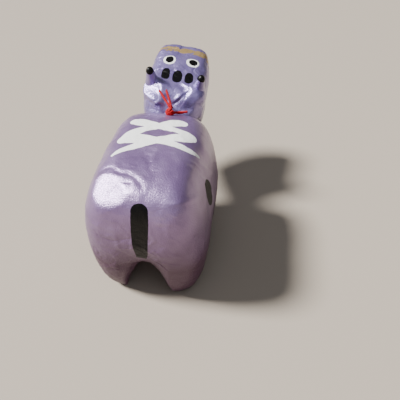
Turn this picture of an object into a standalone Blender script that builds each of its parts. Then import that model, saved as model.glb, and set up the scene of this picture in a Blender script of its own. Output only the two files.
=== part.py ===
"""Papier-mache cow figure with a head that hangs on a red thread and nods.

Lengths are in metres and +Z is up. The cow faces -Y and stands on the floor at z = 0, with the origin on the
floor under the middle of its box. Shapes are worked out in the cow's own measures: x to its left, s forward from
the middle of its trunk, and z up from the floor. The head's are taken from the point where the thread holds it.
"""
from math import atan2, cos, pi, radians, sin

import bmesh
import bpy
import numpy as np
from mathutils import Matrix, Vector

# Trunk
TRUNK_LENGTH = 0.0640
TRUNK_WIDTH = 0.0500
TRUNK_HEIGHT = 0.0600
TRUNK_SQUARENESS = 4.6      # exponent of the loaf's outline, 2 is an ellipsoid
SOLE_CUT = 0.0065           # how much of the loaf's rounded base is cut off flat
WALL = 0.0020
BACK_SQUEEZE_LEFT = 0.31    # narrowing of the back, fuller on its left
BACK_SQUEEZE_RIGHT = 0.41
SQUEEZE_FROM = 0.35         # share of the height where the narrowing starts
FRONT_TAPER = 0.02
LEG_TAPER = 0.13            # how much the legs draw in towards their soles
LEG_TAPER_FROM = 0.55       # share of the height where they begin to

# Gaps between the legs
LEG_GAP_WIDTH = 0.0200      # between the left and right legs
SIDE_GAP_LENGTH = 0.0230    # between the front and rear legs
ARCH_REAR = 0.0240
ARCH_FRONT = 0.0185
BELLY_HEIGHT = 0.0150
SIDE_ARCH = 0.0135
ARCH_REACH = 0.0380         # height at which the lift of the arches has died out
ARCH_ROUND = 2.5
ARCH_FOOT = 0.30            # share of an arch's height over which it runs out into the sole

# Neck opening, seen from the middle of the trunk
MOUTH_TILT = radians(16.0)
MOUTH_HALF_WIDTH = 0.0185
MOUTH_HALF_HEIGHT = 0.0165
MOUTH_SQUARENESS = 3.4
RIM_BEAD = 0.0006

# Point where the thread holds the head, from the top of the rim
HOLD_FORWARD = 0.0074
HOLD_UP = -0.0002
HEAD_ASIDE = 0.0004         # how far the head hangs to its left of the thread

# Head and neck, from that point: (forward, top, underside, half width, squareness above, squareness below)
HEAD_STATIONS = (
    (-0.0510, -0.0078, -0.0273, 0.0116, 2.0, 2.0),
    (-0.0400, -0.0055, -0.0280, 0.0143, 2.0, 2.0),
    (-0.0250, -0.0056, -0.0262, 0.0108, 2.0, 2.0),
    (-0.0120, -0.0056, -0.0216, 0.0088, 2.0, 2.0),
    (-0.0040, -0.0038, -0.0204, 0.0090, 2.0, 2.0),
    (0.0005, 0.0004, -0.0200, 0.0107, 2.0, 2.1),
    (0.0035, 0.0050, -0.0204, 0.0126, 2.3, 2.2),
    (0.0070, 0.0072, -0.0210, 0.0139, 2.9, 2.4),
    (0.0140, 0.0080, -0.0222, 0.0148, 3.6, 2.5),
    (0.0215, 0.0095, -0.0240, 0.0147, 3.8, 2.6),
    (0.0280, 0.0110, -0.0188, 0.0143, 4.0, 2.8),
    (0.0336, 0.0123, -0.0118, 0.0134, 4.0, 3.0),
    (0.0382, 0.0121, -0.0050, 0.0121, 3.8, 3.0),
    (0.0406, 0.0097, -0.0008, 0.0094, 3.0, 2.6),
)
NECK_END_ROUND = 0.0022
HEAD_ROLL = radians(6.5)    # the hanging head leans, its left side higher
HEAD_TURN = radians(2.5)    # and its face is turned a little to its left
CROWN_DISH = 0.0009         # dip between the raised corners of the muzzle
CROWN_DISH_AT = 0.0330
CROWN_DISH_SPREAD = 0.0045

# Horns
HORN_HEIGHT = 0.0074
HORN_ROOT_RADIUS = 0.0029
HORN_TIP_RADIUS = 0.0016
HORN_SPREAD = 0.0102
HORN_FORWARD = 0.0102
HORN_SUNK = 0.0035          # how deep the horn's root sits in the crown
HORN_LEAN_BACK = radians(20.0)
HORN_LEAN_OUT = radians(9.0)

# Thread, with its routes as (x, forward, up) from the top of the rim
THREAD_RADIUS = 0.00040
CLEARANCE = 0.00030
KNOT_RADIUS = 0.00160
KNOT_BACK = 0.0014          # the knot sits this far behind the edge of the rim
THREAD_HOLE_BACK = 0.0042
THREAD_HOLE_RADIUS = 0.0009
PIT_RADIUS = 0.0015
PIT_DEPTH = 0.0024
PIT_SLOPE = radians(41.0)
TURN_ROUND_RIM = (
    (0, -0.0004, 0.0036), (0, -0.0026, 0.0047), (0, -0.0042, 0.0040), (0, -0.0042, 0.0000),
    (0, -0.0034, -0.0018), (0, -0.0016, -0.0026), (0, 0.0000, -0.0020), (0, 0.0009, -0.0004),
    (0, 0.0008, 0.0014), (0, 0.0002, 0.0030),
)
STRETCH_TO_HEAD = ((0, 0.0004, 0.0034), (0, 0.0018, 0.0034), (0, 0.0040, 0.0026), (0, 0.0060, 0.0010), (0, 0.0082, -0.0009))
LONG_END = ((0, -0.0002, 0.0036), (0.0008, 0.0002, 0.0060), (0.0020, 0.0009, 0.0086), (0.0038, 0.0016, 0.0113))
SECOND_END = ((0, -0.0001, 0.0036), (0.0003, 0.0004, 0.0062), (0.0008, 0.0012, 0.0094), (0.0017, 0.0018, 0.0125))
SIDE_END = ((0, -0.0003, 0.0032), (-0.0024, 0.0000, 0.0034), (-0.0052, 0.0002, 0.0031), (-0.0086, 0.0000, 0.0032))

# How finely the round forms are cut into facets
TRUNK_AROUND = 52
TRUNK_RINGS = 31
LINING_RINGS = 19
BELLY_CROWDING = 0.42
HEAD_AROUND = 36
HEAD_RINGS = 27
HEAD_CROWDING = 0.30
HORN_SIDES = 12
THREAD_SIDES = 8
THREAD_STEP = 0.0018


def clear_scene():
    for item in list(bpy.data.objects):
        bpy.data.objects.remove(item, do_unlink=True)


def place(x, s, z):
    """A point in the cow's measures, in coordinates with the trunk's middle at y = 0."""
    return Vector((x, -s, z))


def material(name, colour, roughness, metallic=0.0):
    made = bpy.data.materials.new(name)
    made.use_nodes = True
    shader = made.node_tree.nodes["Principled BSDF"]
    shader.inputs["Base Color"].default_value = (*colour, 1.0)
    shader.inputs["Roughness"].default_value = roughness
    shader.inputs["Metallic"].default_value = metallic
    return made


def add_object(name, builder, origin, made_of=None):
    """Turns a closed bmesh into a smooth object with its faces outwards and its origin at the given point."""
    bmesh.ops.recalc_face_normals(builder, faces=builder.faces)
    if builder.calc_volume(signed=True) < 0:
        bmesh.ops.reverse_faces(builder, faces=builder.faces)
    builder.transform(Matrix.Translation(-origin))
    mesh = bpy.data.meshes.new(name)
    builder.to_mesh(mesh)
    builder.free()
    mesh.shade_smooth()
    mesh.set_sharp_from_angle(angle=radians(50.0))
    item = bpy.data.objects.new(name, mesh)
    item.location = origin
    bpy.context.collection.objects.link(item)
    if made_of:
        mesh.materials.append(made_of)
    return item


def add_cutter(name, builder):
    """A closed form that is joined to a piece or taken from it, and isn't a piece itself."""
    cutter = add_object(name, builder, Vector())
    cutter.hide_render = True
    cutter.display_type = "WIRE"
    return cutter


def combine(target, cutter, operation):
    boolean = target.modifiers.new(cutter.name, "BOOLEAN")
    boolean.operation = operation
    boolean.solver = "EXACT"
    boolean.object = cutter


def bridge(builder, first, second):
    """Quads between two closed rings with the same number of points."""
    count = len(first)
    for i in range(count):
        j = (i + 1) % count
        builder.faces.new((first[i], first[j], second[j], second[i]))


def loft(builder, rings):
    for first, second in zip(rings, rings[1:]):
        bridge(builder, first, second)


def cap(builder, ring, tip):
    """A fan of triangles from a ring to its tip."""
    count = len(ring)
    for i in range(count):
        builder.faces.new((ring[i], ring[(i + 1) % count], tip))


def rod(name, start, direction, length, radius):
    """A plain round rod that cuts a hole."""
    along = direction.normalized()
    builder = bmesh.new()
    bmesh.ops.create_cone(builder, cap_ends=True, segments=12, radius1=radius, radius2=radius, depth=length)
    turned = along.to_track_quat("Z", "Y").to_matrix().to_4x4()
    builder.transform(Matrix.Translation(start + along * length / 2) @ turned)
    return add_cutter(name, builder)


# Trunk

def arch(distance, half_width):
    """1 over the middle of a gap, falling to 0 in a soft foot at its side."""
    height = 1.0 - abs(distance / half_width) ** ARCH_ROUND
    if height > ARCH_FOOT:
        return height
    return max(0.0, height + ARCH_FOOT) ** 2 / (4 * ARCH_FOOT)


def underside_lift(x, s, inset):
    """Height of the belly and of the arches between the legs."""
    end = ARCH_FRONT if s > 0 else ARCH_REAR
    along = min(1.0, abs(2 * s / TRUNK_LENGTH)) ** 3
    lengthwise = (BELLY_HEIGHT + (end - BELLY_HEIGHT) * along) * arch(x, LEG_GAP_WIDTH / 2 + inset)
    crosswise = SIDE_ARCH * arch(s, SIDE_GAP_LENGTH / 2 + inset)
    return (lengthwise ** 4 + crosswise ** 4) ** 0.25


def trunk_halves(inset):
    """Half width, half length and half height of the loaf."""
    return (TRUNK_WIDTH / 2 - inset, TRUNK_LENGTH / 2 - inset, (TRUNK_HEIGHT + SOLE_CUT) / 2 - inset)


def trunk_middle():
    """Height of the loaf's middle."""
    return (TRUNK_HEIGHT - SOLE_CUT) / 2


def narrowing(x, s, z):
    """Share of the full width that is left near the back and the front."""
    squeeze = BACK_SQUEEZE_LEFT if x > 0 else BACK_SQUEEZE_RIGHT
    back = 1 - squeeze * max(0.0, z / TRUNK_HEIGHT - SQUEEZE_FROM) ** 1.5
    return back * (1 - FRONT_TAPER * max(0.0, 2 * s / TRUNK_LENGTH))


def drawing_in(z):
    """Share of the width and length that is left near the soles."""
    return 1 - LEG_TAPER * max(0.0, 1 - z / (LEG_TAPER_FROM * TRUNK_HEIGHT)) ** 1.5


def trunk_surface(direction, inset=0.0):
    """Where a ray from the trunk's middle meets its outside, or its lining when inset by the wall."""
    reach = sum(abs(d / h) ** TRUNK_SQUARENESS for d, h in zip(direction, trunk_halves(inset)))
    x, s, z = (d * reach ** (-1 / TRUNK_SQUARENESS) for d in direction)
    z += trunk_middle()
    z = max(z, inset)
    x *= narrowing(x, s, z) * drawing_in(z)
    s *= drawing_in(z)
    fade = max(0.0, 1.0 - z / ARCH_REACH)
    return place(x, s, z + underside_lift(x, s, inset) * fade)


def mouth_direction(turn, tilt):
    """Direction that leans away from the neck opening's axis by tilt, towards the given side of it."""
    forward, side, up = cos(tilt), sin(turn) * sin(tilt), cos(turn) * sin(tilt)
    return (
        side,
        forward * cos(MOUTH_TILT) - up * sin(MOUTH_TILT),
        forward * sin(MOUTH_TILT) + up * cos(MOUTH_TILT),
    )


def mouth_edge(turn):
    """Angle from the opening's axis to its edge."""
    across = abs(sin(turn) / MOUTH_HALF_WIDTH) ** MOUTH_SQUARENESS
    upright = abs(cos(turn) / MOUTH_HALF_HEIGHT) ** MOUTH_SQUARENESS
    return atan2((across + upright) ** (-1 / MOUTH_SQUARENESS), TRUNK_LENGTH / 2)


def rim_top():
    """The highest point of the opening's outer edge."""
    return trunk_surface(mouth_direction(0.0, mouth_edge(0.0)))


def from_rim(x, forward, up):
    return rim_top() + place(x, forward, up)


def trunk_turns():
    """Directions round the opening's axis, closer together towards the belly and the legs."""
    even = [2 * pi * i / TRUNK_AROUND for i in range(TRUNK_AROUND)]
    return [turn + BELLY_CROWDING * sin(turn) for turn in even]


def trunk_shell(builder, ring_count, inset):
    """Rings from the edge of the neck opening back to a tip in the rump."""
    rings = []
    for i in range(ring_count):
        ring = []
        for turn in trunk_turns():
            edge = mouth_edge(turn)
            direction = mouth_direction(turn, edge + (pi - edge) * i / ring_count)
            ring.append(builder.verts.new(trunk_surface(direction, inset)))
        rings.append(ring)
    loft(builder, rings)
    cap(builder, rings[-1], builder.verts.new(trunk_surface(mouth_direction(0.0, pi), inset)))
    return rings[0]


def trunk(made_of):
    builder = bmesh.new()
    outer = trunk_shell(builder, TRUNK_RINGS, 0.0)
    lining = trunk_shell(builder, LINING_RINGS, WALL)
    outward = place(0, cos(MOUTH_TILT), sin(MOUTH_TILT)) * RIM_BEAD
    bead = [builder.verts.new((a.co + b.co) / 2 + outward) for a, b in zip(outer, lining)]
    loft(builder, (outer, bead, lining))
    body = add_object("body", builder, Vector(), made_of)
    above = from_rim(0, -THREAD_HOLE_BACK, 3 * WALL)
    combine(body, rod("thread_hole", above, Vector((0, 0, -1)), 6 * WALL, THREAD_HOLE_RADIUS), "DIFFERENCE")
    return body


# Head

def hold():
    """The point where the thread holds the head, which the head nods about."""
    return from_rim(0, HOLD_FORWARD, HOLD_UP)


def smooth_table(rows, at):
    """Values on smooth curves through the rows, which neither dip nor bulge between them."""
    table = np.array(rows)
    places, values = table[:, 0], table[:, 1:]
    slopes = np.diff(values, axis=0) / np.diff(places)[:, None]
    turning = slopes[:-1] * slopes[1:] <= 0
    middle = 2 * slopes[:-1] * slopes[1:] / np.where(turning, 1.0, slopes[:-1] + slopes[1:])
    tangents = np.vstack([slopes[:1], np.where(turning, 0.0, middle), slopes[-1:]])
    i = int(np.clip(np.searchsorted(places, at, side="right") - 1, 0, len(places) - 2))
    span = places[i + 1] - places[i]
    t = (at - places[i]) / span
    start = (2 * t ** 3 - 3 * t ** 2 + 1) * values[i] + (t ** 3 - 2 * t ** 2 + t) * span * tangents[i]
    end = (3 * t ** 2 - 2 * t ** 3) * values[i + 1] + (t ** 3 - t ** 2) * span * tangents[i + 1]
    return start + end


def squared(value, squareness):
    """Bends a sine or cosine towards the corners of a rounded square."""
    size = abs(value) ** (2 / squareness)
    return size if value >= 0 else -size


def head_ring(forward):
    """Points round one section of the head, before it leans."""
    top, under, half_width, above, below = smooth_table(HEAD_STATIONS, forward)
    half_height = (top - under) / 2
    dish = CROWN_DISH * np.exp(-((forward - CROWN_DISH_AT) / CROWN_DISH_SPREAD) ** 2)
    points = []
    for i in range(HEAD_AROUND):
        angle = 2 * pi * i / HEAD_AROUND
        squareness = above if sin(angle) >= 0 else below
        x = half_width * squared(cos(angle), squareness)
        z = (top + under) / 2 + half_height * squared(sin(angle), squareness)
        z -= dish * max(0.0, sin(angle)) * (1 - (x / half_width) ** 2)
        points.append(place(x, forward, z))
    return points


def head_sections():
    """Distances of the sections, closer together towards the muzzle."""
    start, end = HEAD_STATIONS[0][0], HEAD_STATIONS[-1][0]
    even = np.linspace(0.0, 1.0, HEAD_RINGS)
    return start + (end - start) * (even + HEAD_CROWDING * np.sin(np.pi * even) / np.pi)


def hung():
    """Carries a point of the head from its own measures to where it hangs."""
    aside = place(HEAD_ASIDE, 0, 0)
    turned = Matrix.Rotation(HEAD_TURN, 4, "Z") @ Matrix.Rotation(-HEAD_ROLL, 4, "Y")
    return Matrix.Translation(hold() + aside) @ turned


def horn(name, side):
    """A short blunt horn, rooted in the crown."""
    length = HORN_HEIGHT + HORN_SUNK
    profile = (
        (0.0, HORN_ROOT_RADIUS),
        (0.35, HORN_ROOT_RADIUS * 0.86),
        (0.70, HORN_TIP_RADIUS * 1.15),
        (0.88, HORN_TIP_RADIUS * 0.86),
        (0.97, HORN_TIP_RADIUS * 0.45),
    )
    builder = bmesh.new()
    rings = []
    for share, radius in profile:
        turns = [2 * pi * i / HORN_SIDES for i in range(HORN_SIDES)]
        rings.append([builder.verts.new((radius * cos(t), radius * sin(t), length * share)) for t in turns])
    loft(builder, rings)
    cap(builder, rings[0], builder.verts.new((0, 0, 0)))
    cap(builder, rings[-1], builder.verts.new((0, 0, length)))
    crown = smooth_table(HEAD_STATIONS, HORN_FORWARD)[0]
    root = Matrix.Translation(place(side * HORN_SPREAD, HORN_FORWARD, crown - HORN_SUNK))
    leaning = Matrix.Rotation(-HORN_LEAN_BACK, 4, "X") @ Matrix.Rotation(side * HORN_LEAN_OUT, 4, "Y")
    builder.transform(hung() @ root @ leaning)
    return add_cutter(name, builder)


def head(made_of):
    builder = bmesh.new()
    rings = [[builder.verts.new(p) for p in head_ring(forward)] for forward in head_sections()]
    loft(builder, rings)
    for ring, bulge in ((rings[0], -NECK_END_ROUND), (rings[-1], 0.0)):
        middle = sum((v.co for v in ring), Vector()) / len(ring)
        cap(builder, ring, builder.verts.new(middle + place(0, bulge, 0)))
    builder.transform(hung())
    item = add_object("head", builder, hold(), made_of)
    for name, side in (("horn_left", 1), ("horn_right", -1)):
        combine(item, horn(name, side), "UNION")
    inward = place(0, cos(PIT_SLOPE), -sin(PIT_SLOPE))
    pit = rod("thread_pit", hold() - inward * PIT_DEPTH * 2, inward, PIT_DEPTH * 3, PIT_RADIUS)
    combine(item, pit, "DIFFERENCE")
    return item


# Thread

def smooth_route(points):
    """Points every step along a smooth curve through the given ones."""
    ends = [points[0] * 2 - points[1], *points, points[-1] * 2 - points[-2]]
    route = []
    for a, b, c, d in zip(ends, ends[1:], ends[2:], ends[3:]):
        pieces = max(1, round((c - b).length / THREAD_STEP))
        for i in range(pieces):
            t = i / pieces
            curve = 2 * b + (c - a) * t + (2 * a - 5 * b + 4 * c - d) * t ** 2
            route.append((curve + (3 * b - a - 3 * c + d) * t ** 3) / 2)
    route.append(points[-1])
    return route


def strand(name, points):
    """A length of thread along a route."""
    route = smooth_route([from_rim(*p) for p in points])
    builder = bmesh.new()
    rings = []
    across = Vector((0.8, 0.6, 0.0))
    for i, point in enumerate(route):
        along = (route[min(i + 1, len(route) - 1)] - route[max(i - 1, 0)]).normalized()
        across = (across - along * across.dot(along)).normalized()
        third = along.cross(across)
        ring = []
        for j in range(THREAD_SIDES):
            turn = 2 * pi * j / THREAD_SIDES
            ring.append(builder.verts.new(point + (across * cos(turn) + third * sin(turn)) * THREAD_RADIUS))
        rings.append(ring)
    loft(builder, rings)
    builder.faces.new(rings[0])
    builder.faces.new(rings[-1])
    return add_cutter(name, builder)


def knot_centre():
    """The knot lies on the trunk's back, close behind the rim."""
    behind = mouth_direction(0.0, mouth_edge(0.0) + KNOT_BACK / rim_top().length)
    beside = mouth_direction(0.0, mouth_edge(0.0) + 1.2 * KNOT_BACK / rim_top().length)
    surface = trunk_surface(behind)
    along = (trunk_surface(beside) - surface).normalized()
    away = Vector((1, 0, 0)).cross(along)
    return surface + away * (KNOT_RADIUS + CLEARANCE) * (1 if away.z > 0 else -1)


def thread(made_of):
    """A knot on the rim, a turn round the rim, a stretch to the head and three loose ends."""
    builder = bmesh.new()
    bmesh.ops.create_uvsphere(builder, u_segments=14, v_segments=8, radius=KNOT_RADIUS)
    builder.transform(Matrix.Translation(knot_centre()))
    knot = add_object("thread", builder, from_rim(0, -THREAD_HOLE_BACK, 0), made_of)
    routes = {
        "turn_round_rim": TURN_ROUND_RIM,
        "stretch_to_head": STRETCH_TO_HEAD,
        "long_end": LONG_END,
        "second_end": SECOND_END,
        "side_end": SIDE_END,
    }
    for name, points in routes.items():
        combine(knot, strand(name, points), "UNION")
    return knot


def stand_on_origin(front):
    """Moves everything so that the origin is on the floor under the middle of the cow's box."""
    floor = bpy.data.objects.new("cow", None)
    bpy.context.collection.objects.link(floor)
    floor.location = (0.0, (front - TRUNK_LENGTH / 2) / 2, 0.0)
    for item in bpy.data.objects:
        if item is not floor:
            item.parent = floor


def main():
    clear_scene()
    trunk(material("trunk paint", (0.33, 0.24, 0.42), 0.42, 0.35))
    head(material("head paint", (0.38, 0.30, 0.50), 0.40, 0.35))
    thread(material("red thread", (0.60, 0.01, 0.02), 0.75))
    stand_on_origin(-hold().y + HEAD_STATIONS[-1][0])


main()
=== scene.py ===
# %% [markdown]
# # A papier-mache cow with a nodding head
# A small festival toy: a hollow papier-mache cow, painted in pearly lavender, with a head that hangs on a
# red thread in its neck opening and nods when it is touched. The photograph looks down on it from behind,
# with the head tipped up so that the whole face shows. Lengths are in metres, and +Z is up. Shapes are
# worked out in the cow's own measures: x to its left, s forward from the middle of its trunk, and z up
# from the floor.

# %% The frame
from math import cos, pi, radians, sin

import bpy
import bmesh
import numpy as np
from mathutils import Matrix, Vector


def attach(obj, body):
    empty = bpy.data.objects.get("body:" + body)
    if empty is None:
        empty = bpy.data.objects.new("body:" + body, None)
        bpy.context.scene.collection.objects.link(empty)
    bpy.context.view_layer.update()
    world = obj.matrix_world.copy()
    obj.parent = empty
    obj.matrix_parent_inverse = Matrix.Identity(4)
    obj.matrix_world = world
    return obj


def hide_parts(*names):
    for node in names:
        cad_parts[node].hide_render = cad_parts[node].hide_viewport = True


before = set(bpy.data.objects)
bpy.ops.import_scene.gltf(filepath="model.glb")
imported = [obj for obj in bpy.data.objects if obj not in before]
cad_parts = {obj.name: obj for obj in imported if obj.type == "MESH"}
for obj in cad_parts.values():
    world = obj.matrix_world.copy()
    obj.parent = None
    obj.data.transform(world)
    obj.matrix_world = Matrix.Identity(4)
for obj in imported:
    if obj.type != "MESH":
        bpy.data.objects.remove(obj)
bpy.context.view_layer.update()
print("solids:", ", ".join(sorted(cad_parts)))

# %% [markdown]
# ## Camera, ground and light
# The photograph was taken from behind and above, at arm's length or less, so the near rump looks larger
# than the far head. The sun stands high on the cow's left and throws a shadow to its right. One wide lamp
# of the sun kind comes from the same side in softer light, a soft box above the rump gives the pale sheen
# that the open sky lays over the paint there, and a dim dome fills the shade.

# %% Camera and light
CAMERA_AT = (-0.03744, 0.14864, 0.15550)
CAMERA_AIM = (-0.01324, -0.01100, 0.0)
SENSOR_WIDTH = 36.0
LENS = 37.8
CAMERA_CLIP = 0.005
KEY_FROM = (0.674, 0.055, 0.737)
KEY_STRENGTH = 9.4
KEY_WIDTH = radians(12.0)
DOME_COLOUR, DOME_STRENGTH = "#e4e8f0", 0.16
SOFT_BOX_AT, SOFT_BOX_AIM = (-0.12, 0.26, 0.62), (0.0, 0.0, 0.03)
SOFT_BOX_WIDTH = 0.62
SOFT_BOX_POWER = 1.1
SOFT_BOX_COLOUR = (0.86, 0.90, 1.0)  # linear, slightly blue as the sky is


def srgb(code):
    """Linear colour from a hex code."""
    parts = [int(code[i:i + 2], 16) / 255 for i in (1, 3, 5)]
    return (*[p / 12.92 if p <= 0.04045 else ((p + 0.055) / 1.055) ** 2.4 for p in parts], 1.0)


def aimed(name, data, at, towards):
    """A camera or lamp at a place, turned towards another."""
    item = bpy.data.objects.new(name, data)
    item.location = at
    item.rotation_euler = (Vector(towards) - Vector(at)).to_track_quat("-Z", "Y").to_euler()
    bpy.context.collection.objects.link(item)
    return item


camera = aimed("camera", bpy.data.cameras.new("camera"), CAMERA_AT, CAMERA_AIM)
camera.data.sensor_width = SENSOR_WIDTH
camera.data.lens = LENS
camera.data.clip_start = CAMERA_CLIP
bpy.context.scene.camera = camera

key = aimed("key light", bpy.data.lights.new("key light", "SUN"), KEY_FROM, (0, 0, 0))
key.data.energy = KEY_STRENGTH
key.data.angle = KEY_WIDTH

soft_box = aimed("soft box", bpy.data.lights.new("soft box", "AREA"), SOFT_BOX_AT, SOFT_BOX_AIM)
soft_box.data.size = SOFT_BOX_WIDTH
soft_box.data.energy = SOFT_BOX_POWER
soft_box.data.color = SOFT_BOX_COLOUR

dome = bpy.data.worlds.new("pale dome")
dome.use_nodes = True
dome.node_tree.nodes["Background"].inputs["Color"].default_value = srgb(DOME_COLOUR)
dome.node_tree.nodes["Background"].inputs["Strength"].default_value = DOME_STRENGTH
bpy.context.scene.world = dome
print("camera is", round(Vector(CAMERA_AT).length * 1000), "mm from the origin")

# %% [markdown]
# ## Adding nodes
# Every material and every Geometry Nodes tree below is built from the script with one small function. It
# adds a node, sets its options, and links or fills its inputs.

# %% Node helper
def add_node(tree, kind, inputs=(), **settings):
    """Adds a node. An input's value may be a number, a colour or another node's output."""
    made = tree.nodes.new(kind)
    for name, value in settings.items():
        setattr(made, name, value)
    for name, value in dict(inputs).items():
        if isinstance(value, bpy.types.NodeSocket):
            tree.links.new(value, made.inputs[name])
        else:
            made.inputs[name].default_value = value
    return made


def new_material(name):
    """A material with its tree and its Principled node."""
    made = bpy.data.materials.new(name)
    made.use_nodes = True
    return made, made.node_tree, made.node_tree.nodes["Principled BSDF"]


print("node helper is ready in Blender", bpy.app.version_string)

# %% [markdown]
# ## The floor
# A pale board with a matt surface, which shows the shadow but no glare. It is wide enough to fill the
# picture, and it isn't part of the object.

# %% Floor
FLOOR_HALF = 1.5
FLOOR_COLOUR, FLOOR_ROUGHNESS = "#a89c8d", 0.85

floor_paint, _, shader = new_material("matt pale board")
shader.inputs["Base Color"].default_value = srgb(FLOOR_COLOUR)
shader.inputs["Roughness"].default_value = FLOOR_ROUGHNESS
floor_mesh = bpy.data.meshes.new("floor")
corners = [(x * FLOOR_HALF, y * FLOOR_HALF, 0.0) for x, y in ((-1, -1), (1, -1), (1, 1), (-1, 1))]
floor_mesh.from_pydata(corners, [], [(0, 1, 2, 3)])
floor_mesh.materials.append(floor_paint)
floor = bpy.data.objects.new("floor", floor_mesh)
bpy.context.collection.objects.link(floor)
print("floor", FLOOR_HALF * 2, "m wide")

# %% [markdown]
# ## Noise for handmade surfaces
# Papier-mache is never smooth. It could be roughened by a Displace modifier with a noise texture, but the
# same bumps have to bend the painted marks with them, so they are worked out with numpy on the points
# themselves. Random values sit on the corners of a grid and are blended between them, which gives soft
# lumps of a chosen width.

# %% Noise
MM = 0.001


def corner_values(corners, seed):
    """A fixed random value between -1 and 1 for each corner of a grid."""
    mixed = seed * 40503551
    for axis, factor in enumerate((73856093, 19349663, 83492791)):
        mixed = mixed ^ corners[..., axis] * factor
    mixed = (mixed ^ (mixed >> 13)) * 1274126177
    return ((mixed ^ (mixed >> 16)) & 65535) / 32767.5 - 1


def lumps(points, width, seed):
    """Soft lumps between -1 and 1, of about the given width in metres."""
    scaled = points / width
    base = np.floor(scaled).astype(np.int64)
    share = scaled - base
    share = share * share * (3 - 2 * share)
    total = np.zeros(points.shape[:-1])
    for corner in range(8):
        step = np.array([corner >> axis & 1 for axis in range(3)])
        total += np.prod(np.where(step, share, 1 - share), axis=-1) * corner_values(base + step, seed)
    return total


def rise(values, start, end):
    """0 before start and 1 after end, with a smooth rise between them."""
    share = np.clip((values - start) / (end - start), 0, 1)
    return share * share * (3 - 2 * share)


def layered(pattern, points, rows):
    """Sum of a pattern's layers, whose rows are (height, width, seed) with the sizes in millimetres."""
    return sum(height * MM * pattern(points, width * MM, seed) for height, width, seed in rows)


print("lumps at the origin:", lumps(np.zeros((1, 3)), MM, 1).round(3))

# %% [markdown]
# ## Skins of rings
# Trunk, head and horns are all skins stretched over rings of points: every ring has the same number of
# points, quads join each ring to the next, and a fan of triangles closes each end. Working with rings as
# one array keeps the relief and the painted marks, which are stored as attributes on the same points,
# simple.

# %% Skins
def ring_normals(rings):
    """Directions that point outwards from a skin of rings."""
    around = np.roll(rings, -1, axis=1) - np.roll(rings, 1, axis=1)
    along = np.gradient(rings, axis=0)
    normals = np.cross(around, along)
    normals /= np.maximum(np.linalg.norm(normals, axis=-1, keepdims=True), 1e-12)
    return normals * np.sign(np.sum(normals * (rings - rings.mean(axis=1, keepdims=True))))


def skin(name, rings, marks, paint):
    """A closed mesh over the rings, with the marks stored as attributes on its points."""
    count, around = rings.shape[:2]
    tips = np.stack([rings[0].mean(axis=0), rings[-1].mean(axis=0)])
    points = np.concatenate([rings.reshape(-1, 3), tips])
    index = np.arange(count * around).reshape(count, around)
    beside = np.roll(index, -1, axis=1)
    quads = np.stack([index[:-1], beside[:-1], beside[1:], index[1:]], axis=-1).reshape(-1, 4)
    first = [(beside[0, i], index[0, i], count * around) for i in range(around)]
    last = [(index[-1, i], beside[-1, i], count * around + 1) for i in range(around)]
    mesh = bpy.data.meshes.new(name)
    mesh.from_pydata(points.tolist(), [], quads.tolist() + first + last)
    for mark, values in marks.items():
        ends = [values[0].mean(), values[-1].mean()]
        store = mesh.attributes.new(mark, "FLOAT", "POINT")
        store.data.foreach_set("value", np.concatenate([values.reshape(-1), ends]).astype(np.float32))
    mesh.materials.append(paint)
    mesh.shade_smooth()
    return mesh


print("made", ring_normals.__name__, "and", skin.__name__)

# %% [markdown]
# ## Finished pieces
# Every finished mesh gets its faces turned outwards, is linked to the scene and hung on the body that it
# rides on, and the solid that it stands for is hidden.

# %% Pieces
def outwards(mesh):
    """Turns the faces of a closed mesh outwards."""
    builder = bmesh.new()
    builder.from_mesh(mesh)
    bmesh.ops.recalc_face_normals(builder, faces=builder.faces)
    if builder.calc_volume(signed=True) < 0:
        bmesh.ops.reverse_faces(builder, faces=builder.faces)
    builder.to_mesh(mesh)
    builder.free()


def piece(name, mesh, body, node, slot):
    """Shows a finished mesh and says which body it rides on and which solid it stands for."""
    outwards(mesh)
    item = bpy.data.objects.new(name, mesh)
    bpy.context.collection.objects.link(item)
    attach(item, body)
    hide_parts(node)
    print(name, "has", sum(len(p.vertices) - 2 for p in mesh.polygons), "triangles")


print("made", outwards.__name__, "and", piece.__name__)

# %% [markdown]
# ## Painted marks
# The marks are brushed on: white crossed lacing on the back, a black tail, black spots, and the face.
# They could be a texture, but a texture needs an image or a UV map. Here each point stores its distance
# in millimetres to the edge of a mark, below 0 inside it. The paint's material turns that into a sharp
# edge with a slight tremble.

# %% Marks
def smooth_rows(rows, count=40):
    """Rows of numbers on a smooth curve through the given ones."""
    rows = np.array(rows, dtype=float)
    ends = np.vstack([2 * rows[0] - rows[1], rows, 2 * rows[-1] - rows[-2]])
    at = np.linspace(0, len(rows) - 1, count)
    i = np.minimum(at.astype(int), len(rows) - 2)
    t = (at - i)[:, None]
    a, b, c, d = (ends[i + k] for k in range(4))
    return (2 * b + (c - a) * t + (2 * a - 5 * b + 4 * c - d) * t ** 2 + (3 * b - a - 3 * c + d) * t ** 3) / 2


def stroke(across, along, rows):
    """Distance to a brush stroke, whose rows are (across, along, half width) in millimetres."""
    rows = smooth_rows(rows)
    points = np.stack([across, along], axis=-1)
    best = np.full(across.shape, 99.0)
    for (*start, first), (*end, second) in zip(rows[:-1], rows[1:]):
        line = np.subtract(end, start)
        share = np.clip((points - start) @ line / max(line @ line, 1e-9), 0, 1)
        gap = np.linalg.norm(points - start - share[..., None] * line, axis=-1)
        best = np.minimum(best, gap - first - (second - first) * share)
    return best


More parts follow.
